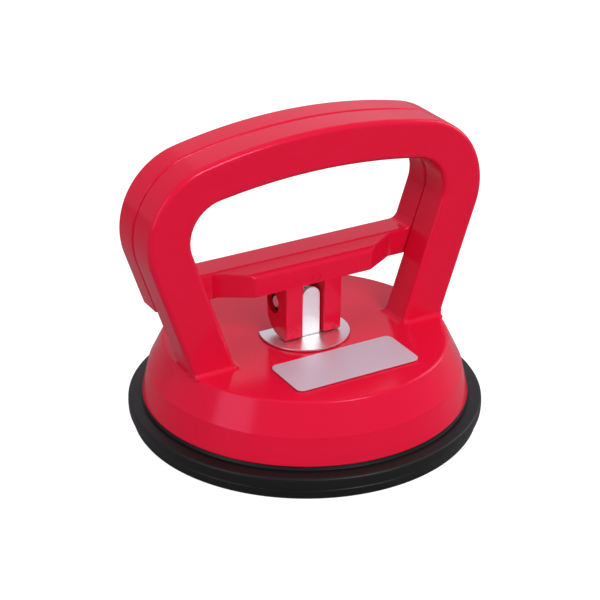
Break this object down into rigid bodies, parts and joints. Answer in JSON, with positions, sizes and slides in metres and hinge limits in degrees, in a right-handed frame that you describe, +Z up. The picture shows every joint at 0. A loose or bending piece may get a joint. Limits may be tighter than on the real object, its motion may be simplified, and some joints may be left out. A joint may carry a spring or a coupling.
{
  "type": "vacuum suction lifter",
  "caption": "Hand vacuum suction cup: a rubber cup under a moulded bell with a fixed handle, and a cam lever that doubles the handle and draws the vacuum.",
  "frame": {"origin": "middle of the circle that the cup's lip rests on, at the bottom of the part", "axes": "+X along the handle, +Y from the fixed handle half to the lever half, +Z up out of the cup"},
  "size_m": [0.1232, 0.12, 0.1057],
  "materials": {
    "red_abs": "moulded red plastic, semi-gloss",
    "black_rubber": "moulded black rubber, satin",
    "bright_steel": "bright, lightly brushed",
    "zinc_steel": "zinc plated sheet",
    "label_foil": "satin foil, blank"
  },
  "bodies": {
    "base": {"housing": "red_abs", "rubber_cup": "black_rubber", "wear_plate": "bright_steel", "nameplate": "label_foil"},
    "stem": {"stem_bracket": "zinc_steel", "core_plate": "zinc_steel", "rivet_1": "zinc_steel", "rivet_2": "zinc_steel", "rivet_3": "zinc_steel", "rivet_4": "zinc_steel", "pivot_pin": "bright_steel", "pin_clip_left": "bright_steel", "pin_clip_right": "bright_steel"},
    "lever": {"lever": "red_abs"}
  },
  "joints": [
    {"name": "stem_slide", "type": "slide", "parent": "base", "child": "stem", "axis": [0, 0, -1], "range_m": [0, 0.0054], "deforming": ["rubber_cup"]},
    {"name": "lever_hinge", "type": "hinge", "parent": "stem", "child": "lever", "pos_m": [0, 0.0031, 0.0418], "axis": [-1, 0, 0], "range_deg": [0, 70]}
  ],
  "couplings": [
    {"joint": "stem_slide", "follows": "lever_hinge", "m_per_rad": 0.00433}
  ]
}
